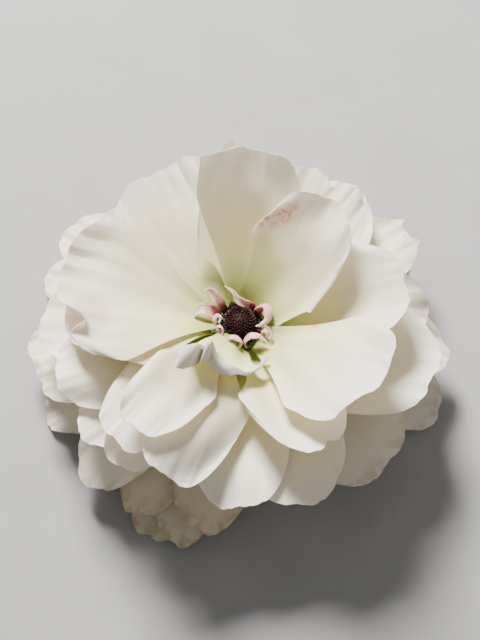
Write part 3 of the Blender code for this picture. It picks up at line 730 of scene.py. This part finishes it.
# Name, points along its middle in millimetres, what its inner side faces there, width, hollow
PETALOIDS = (
    ("petaloid_hook",
     ((4.6, 2.0, 2.2), (4.2, 2.9, 5.0), (4.9, 3.4, 7.0), (6.4, 3.0, 8.0),
      (7.1, 1.2, 8.0), (6.5, -0.9, 7.6), (4.9, -2.0, 7.2), (3.8, -1.9, 6.6)),
     ((-1, -1, 0), (0, -1, 0), (0.2, -1, -0.5), (-0.5, -0.8, -0.9),
      (-1, 0, -0.9), (-0.8, 0.8, -0.9), (-0.2, 1, -0.8), (0.6, 0.8, 0)),
     3.2, 50),
    ("petaloid_ribbon",
     ((3.4, 4.2, 2.2), (3.0, 4.2, 5.0), (0.8, 4.1, 6.6), (-0.7, 4.6, 7.6),
      (-1.7, 6.0, 8.8), (-3.6, 7.1, 9.8)),
     ((0, -1, 0), (-0.2, -1, 0.4), (0, -0.6, 1), (0.2, -0.4, 1),
      (0.6, -0.4, 1), (0.2, -0.8, 1)),
     2.0, 40),
    ("petaloid_twisted",
     ((-3.4, 3.8, 2.2), (-4.4, 4.0, 4.8), (-5.0, 4.2, 6.8), (-5.7, 5.4, 8.2),
      (-6.8, 6.6, 9.0), (-8.4, 6.4, 8.6)),
     ((1, -1, 0), (1, -0.8, 0.4), (0.6, -0.8, 0.8), (-0.4, -0.6, 1),
      (-0.6, -0.8, 0.4), (0, -1, -0.4)),
     2.8, 60),
    ("petaloid_left",
     ((-4.8, 1.4, 2.2), (-5.8, 1.8, 4.2), (-7.2, 2.2, 5.8), (-9.0, 2.2, 6.6),
      (-10.4, 1.4, 6.0), (-10.7, 0.6, 5.2)),
     ((1, 0, 0.2), (1, 0, 0.8), (0.4, 0, 1), (0, 0.2, 1),
      (-0.8, 0, 0.6), (-1, 0, 0)),
     4.0, 50),
    ("petaloid_left_low",
     ((-4.8, -1.6, 2.2), (-5.8, -1.4, 4.4), (-6.4, -0.2, 6.2), (-5.6, 0.8, 7.2),
      (-4.5, 0.2, 7.2), (-4.9, -1.2, 6.8)),
     ((1, 0.6, 0), (1, 0.2, 0), (1, -0.2, -0.4), (0.2, -0.9, -0.7),
      (-0.8, -0.4, -0.7), (-1, 0.4, -0.4)),
     2.8, 55),
    ("petaloid_front_left",
     ((-3.4, -3.8, 2.2), (-4.6, -3.8, 4.4), (-5.6, -2.8, 6.2), (-4.9, -2.0, 7.2),
      (-4.2, -3.2, 7.2), (-4.6, -4.8, 6.4), (-5.6, -5.4, 5.8)),
     ((0.6, 1, 0), (0.9, 0.4, 0.2), (0.6, -0.4, -0.6), (-0.2, -1, -0.8),
      (-0.9, -0.2, 0.6), (-0.4, 0.2, 1), (0.4, -0.6, 1)),
     2.8, 50),
    ("petaloid_front",
     ((-1.2, -5.0, 2.2), (-2.4, -5.5, 4.4), (-3.2, -5.2, 6.2), (-2.2, -4.6, 7.2),
      (-0.6, -4.9, 7.2), (0.4, -6.0, 6.4), (-0.8, -7.2, 5.6), (-2.6, -7.2, 5.4)),
     ((0, 1, 0.2), (0.9, 0.5, 0.2), (0.8, -0.4, -0.6), (0, -1, -0.8),
      (-0.6, -0.8, -0.8), (-0.9, 0.2, 0.6), (-0.2, 0.6, 1), (0.2, 0.6, 1)),
     2.8, 55),
    ("petaloid_front_right",
     ((1.8, -5.0, 2.2), (0.9, -5.4, 4.4), (1.2, -4.8, 6.4), (2.6, -4.2, 7.6),
      (4.4, -4.5, 7.6), (5.6, -5.4, 7.0), (6.4, -6.4, 6.8)),
     ((0.4, 1, 0.2), (1, 0.3, 0.2), (0.8, -0.8, -0.6), (0.2, -1, -0.8),
      (-0.4, -1, -0.8), (-0.7, -0.8, -0.5), (-0.2, -0.6, 0.6)),
     3.8, 60),
    ("petaloid_sliver",
     ((5.0, -3.0, 2.2), (5.6, -3.0, 4.4), (5.4, -2.6, 6.2), (6.4, -3.0, 7.0),
      (7.4, -4.2, 6.8), (6.8, -5.2, 6.4)),
     ((-1, 0.4, 0.4), (-1, 0.4, 0.4), (-0.4, 0.2, 1), (-0.2, -0.6, 0.8),
      (-0.9, -0.4, 0.4), (0, 0.6, 0.8)),
     2.0, 45),
)


def add_petaloids():
    material = petaloid_paint()
    for name, knots, facings, width, hollow in PETALOIDS:
        points, faces, uvs = sheet(ribbon(knots, facings, width, hollow), PETALOID_THICKNESS)
        piece = add_mesh(name + "_curl", points, faces, material, uvs)
        finished(piece, name)


# ---- the dark centre ----
RECEPTACLE_TOP_Z = 1.5
CARPEL_BASE_Z = 1.8
CARPEL_HEIGHT = 6.4
CARPEL_RADIUS = 3.7
CARPEL_COUNT = 260
CARPEL_WIDEST = 1.85  # how far round the cone the last carpels stand, in radians from its top
STAMEN_COUNT = 96
STAMEN_RINGS = 4
STAMEN_DISTANCE = 4.05

# Small bodies, from base to tip: share of the way, share of their radius
CORE_PROFILE = ((0.0, 0.80), (0.3, 0.92), (0.6, 0.74), (0.85, 0.42))
CARPEL_PROFILE = ((0.15, 0.8), (0.5, 1.0), (0.78, 0.6), (0.92, 0.25))
FILAMENT_PROFILE = ((0.02, 1.0), (0.5, 0.9), (0.98, 0.8))
ANTHER_PROFILE = ((0.08, 0.5), (0.35, 1.0), (0.75, 0.9), (0.95, 0.4))
HAIR_PROFILE = ((0.1, 1.0),)


def ring_faces(rings, sides):
    """Faces of a closed body of rings of points between two end points."""
    faces = []
    last = 1 + (rings - 1) * sides
    for i in range(sides):
        j = (i + 1) % sides
        faces.append((0, 1 + j, 1 + i))
        for ring in range(rings - 1):
            low = 1 + ring * sides
            faces.append((low + i, low + j, low + sides + j, low + sides + i))
        faces.append((last + i, last + j, last + sides))
    return faces


def drop(base, tip, radius, sides, profile):
    """Points and faces of a small closed round body from base to tip."""
    base, tip = np.asarray(base, float), np.asarray(tip, float)
    axis = tip - base
    steep = abs(axis[2]) > 0.6 * np.linalg.norm(axis)
    helper = (0.3, 0.9, 0.2) if steep else (0, 0, 1.0)
    first = np.cross(axis, helper)
    first /= np.linalg.norm(first)
    second = np.cross(axis, first)
    second /= np.linalg.norm(second)
    angles = np.arange(sides) * 2 * math.pi / sides
    circle = first * np.cos(angles)[:, None] + second * np.sin(angles)[:, None]
    rings = [base + axis * way + circle * radius * wide for way, wide in profile]
    return np.concatenate([[base], *rings, [tip]]), ring_faces(len(rings), sides)


def joined(parts):
    """Several bodies as one list of points and one of faces."""
    points, faces, count = [], [], 0
    for some_points, some_faces in parts:
        points.append(some_points)
        faces += [tuple(index + count for index in face) for face in some_faces]
        count += len(some_points)
    return np.concatenate(points), faces


def add_carpels():
    """A cone of small pointed carpels, set in a spiral."""
    random = np.random.default_rng(5)
    golden = math.pi * (3 - math.sqrt(5))
    top = CARPEL_BASE_Z + CARPEL_HEIGHT - 1.2
    parts = [drop((0, 0, CARPEL_BASE_Z), (0, 0, top), CARPEL_RADIUS, 24, CORE_PROFILE)]
    for number in range(CARPEL_COUNT):
        share = (number + 0.5) / CARPEL_COUNT
        angle = number * golden
        polar = CARPEL_WIDEST * math.sqrt(share)
        flat = CARPEL_RADIUS * math.sin(polar) * 0.86
        height = CARPEL_BASE_Z + CARPEL_HEIGHT * (0.45 + 0.50 * math.cos(polar))
        level = np.array([math.cos(angle), math.sin(angle), 0])
        out = level * math.sin(polar) + np.array([0, 0, math.cos(polar) + 0.35])
        out /= np.linalg.norm(out)
        base = level * flat + np.array([0, 0, height - 0.5])
        long = 0.95 + random.uniform(-0.12, 0.18)
        tip = base + out * long + np.array([*random.uniform(-0.12, 0.12, 2), 0.0])
        parts.append(drop(base, tip, 0.25, 6, CARPEL_PROFILE))
    points, faces = joined(parts)
    material = dark_paint("carpel_dark", (0.009, 0.002, 0.003), (0.055, 0.010, 0.012), 1500)
    finished(add_mesh("carpels_cone", points, faces, material), "carpels")


def add_stamens():
    """Short dark stamens round the cone, each a bent filament with an anther at its end."""
    random = np.random.default_rng(11)
    parts = []
    for number in range(STAMEN_COUNT):
        angle = number * 2 * math.pi / STAMEN_COUNT + random.uniform(-0.04, 0.04)
        out = np.array([math.cos(angle), math.sin(angle), 0])
        ring = number % STAMEN_RINGS
        start = STAMEN_DISTANCE + 0.28 * ring
        long = random.uniform(2.6, 4.2) - 0.3 * ring
        lean = random.uniform(0.05, 0.55)
        base = out * start + np.array([0, 0, RECEPTACLE_TOP_Z - 0.2])
        knee = base + np.array([0, 0, long * 0.7]) + out * long * 0.2 * lean
        end = knee + np.array([0, 0, long * 0.35]) + out * long * 0.5 * lean
        parts.append(drop(base, knee, 0.11, 5, FILAMENT_PROFILE))
        parts.append(drop(knee - out * 0.02, end + np.array([0, 0, 0.35]), 0.24, 6, ANTHER_PROFILE))
    points, faces = joined(parts)
    material = dark_paint("stamen_dark", (0.020, 0.005, 0.008), (0.120, 0.030, 0.036), 1800)
    finished(add_mesh("stamens_ring", points, faces, material), "stamens")


# ---- stem and sepals ----
STEM_RADIUS = 2.4
STEM_SEGMENTS = 72
STEM_HAIRS = 260
SEPAL = dict(
    base_radius=7.2, base_height=-7.2, claw=0.5, taper=0.4, square=2.0, shoulder=0.78,
    length=10.5, width=7.0, rise=-36, bend=16, cup=18,
    ripple=0.25, ruffle=0.05, pleat=0.06, crumple=0.12,
)
SEPAL_GRID = (25, 17)
SEPAL_HAIRS = 60
SEPAL_COUNT = 5
SEPAL_FIRST_AZIMUTH = 18.0
SEPAL_THICKNESS = 0.35


def hairs(points, directions, length, random):
    """A thin pointed hair at each point."""
    parts = []
    for point, direction in zip(points, directions):
        bent = direction + random.normal(0, 0.25, 3)
        tip = point + bent / np.linalg.norm(bent) * length * random.uniform(0.6, 1.2)
        parts.append(drop(point - direction * 0.05, tip, 0.035, 3, HAIR_PROFILE))
    return parts


def add_stem():
    """The cut stem and the receptacle it swells into, with low ribs and a fine down."""
    profile = (  # radius and height
        (STEM_RADIUS - 0.5, GROUND_Z + 0.35),
        (STEM_RADIUS - 0.15, GROUND_Z),
        (STEM_RADIUS, GROUND_Z + 0.3),
        (STEM_RADIUS, -11.5),
        (STEM_RADIUS + 0.3, -9.5),
        (4.2, -7.7),
        (6.7, -5.8),
        (7.6, -4.2),
        (7.2, -3.0),
        (6.4, -1.2),
        (5.4, 0.7),
        (5.0, RECEPTACLE_TOP_Z),
        (3.0, RECEPTACLE_TOP_Z + 0.15),
    )
    rings = smooth_path(profile, 61)
    angles = np.arange(STEM_SEGMENTS) * 2 * math.pi / STEM_SEGMENTS
    ribs = 1 + 0.018 * np.cos(11 * angles) + 0.008 * np.cos(23 * angles + 1.0)
    points = [(0, 0, GROUND_Z + 0.5)]
    for radius, height in rings:
        for angle, rib in zip(angles, ribs):
            points.append((radius * rib * math.cos(angle), radius * rib * math.sin(angle), height))
    points.append((0, 0, RECEPTACLE_TOP_Z + 0.2))
    shaft = (np.array(points), ring_faces(len(rings), STEM_SEGMENTS))
    random = np.random.default_rng(21)
    angle = random.uniform(0, 2 * math.pi, STEM_HAIRS)
    height = random.uniform(GROUND_Z + 1.5, -10.5, STEM_HAIRS)
    out = np.stack([np.cos(angle), np.sin(angle), 0 * angle], -1)
    roots = out * STEM_RADIUS + np.stack([0 * height, 0 * height, height], -1)
    points, faces = joined([shaft, *hairs(roots, out, 0.7, random)])
    material = green_paint("stem_green", (0.10, 0.17, 0.035), (0.26, 0.36, 0.10), 260, 0.25)
    finished(add_mesh("stem_green_shaft", points, faces, material), "stem")


def add_sepals():
    """The sepals under the petals, with a fine down on their outer sides."""
    material = green_paint("sepal_green", (0.13, 0.20, 0.05), (0.32, 0.38, 0.15), 320, 0.4)
    random = np.random.default_rng(31)
    for number in range(SEPAL_COUNT):
        azimuth = SEPAL_FIRST_AZIMUTH + number * 360 / SEPAL_COUNT
        middle = blade({**PETAL, **SEPAL, "azimuth": azimuth, "seed": 80 + number}, *SEPAL_GRID)
        points, faces, _ = sheet(middle, SEPAL_THICKNESS)
        picked = random.integers(0, len(points) // 2, SEPAL_HAIRS)
        outward = -normals(middle).reshape(-1, 3)[picked]
        down = hairs(points[len(points) // 2 + picked], outward, 0.6, random)
        points, faces = joined([(points, faces), *down])
        name = "sepal_%d" % (number + 1)
        finished(add_mesh(name + "_leaf", points, faces, material), name)


# ---- camera, light and floor, in metres ----
CAMERA_ELEVATION = 66.0
CAMERA_DISTANCE = 0.40
SENSOR_WIDTH = 36.0
FRAME_HEIGHT = 0.153  # what the picture's long side covers at the flower
AIM_ABOVE = 0.0024  # the camera aims this far above the flower's own origin, in the picture

# Name, direction from the flower, distance, size, power, colour
LIGHTS = (
    ("key", (-0.26, 0.74, 0.76), 0.8, 0.26, 30.0, (1.0, 0.97, 0.91)),
    ("fill", (0.3, -0.7, 0.9), 1.0, 0.9, 0.9, (1.0, 0.99, 0.97)),
)
SKY_STRENGTH = 0.28
FLOOR_HALF = 3.0
FLOOR_DROP = 0.0002  # keeps the floor just clear of what rests on it
FLOOR_STOPS = ((0.3, (0.29, 0.29, 0.295)), (0.7, (0.315, 0.315, 0.32)))


def add_camera():
    up_angle = math.radians(CAMERA_ELEVATION)
    back = Vector((0, -math.cos(up_angle), math.sin(up_angle)))
    up = Vector((0, math.sin(up_angle), math.cos(up_angle)))
    data = bpy.data.cameras.new("camera")
    data.sensor_width = SENSOR_WIDTH
    data.lens = SENSOR_WIDTH * CAMERA_DISTANCE / FRAME_HEIGHT
    camera = bpy.data.objects.new("camera", data)
    bpy.context.collection.objects.link(camera)
    camera.location = Vector(ORIGIN * MM) + back * CAMERA_DISTANCE + up * AIM_ABOVE
    camera.rotation_euler = back.to_track_quat("Z", "Y").to_euler()
    bpy.context.scene.camera = camera


def add_light(name, direction, distance, size, power, colour):
    data = bpy.data.lights.new(name, "AREA")
    data.energy = power
    data.size = size
    data.color = colour
    lamp = bpy.data.objects.new(name, data)
    bpy.context.collection.objects.link(lamp)
    direction = Vector(direction).normalized()
    lamp.location = Vector(ORIGIN * MM) + direction * distance
    lamp.rotation_euler = direction.to_track_quat("Z", "Y").to_euler()


def add_studio():
    """A plain pale floor under soft lights."""
    paint = Paint("floor_pale")
    grain = paint.noise(paint.place(), 60, 3)
    paint.put(paint.ramp(grain, FLOOR_STOPS), paint.shader.inputs["Base Color"])
    paint.shader.inputs["Roughness"].default_value = 0.85
    mesh = bpy.data.meshes.new("floor")
    corners = ((-1, -1), (1, -1), (1, 1), (-1, 1))
    mesh.from_pydata([(x * FLOOR_HALF, y * FLOOR_HALF, 0) for x, y in corners], [], [(0, 1, 2, 3)])
    mesh.materials.append(paint.material)
    floor = bpy.data.objects.new("floor", mesh)
    bpy.context.collection.objects.link(floor)
    floor.location.z = -FLOOR_DROP
    for light in LIGHTS:
        add_light(*light)
    world = bpy.data.worlds.new("studio")
    bpy.context.scene.world = world
    world.use_nodes = True
    sky = world.node_tree.nodes["Background"]
    sky.inputs["Color"].default_value = (1, 1, 1, 1)
    sky.inputs["Strength"].default_value = SKY_STRENGTH


add_camera()
add_petals()
add_petaloids()
add_carpels()
add_stamens()
add_stem()
add_sepals()
add_studio()
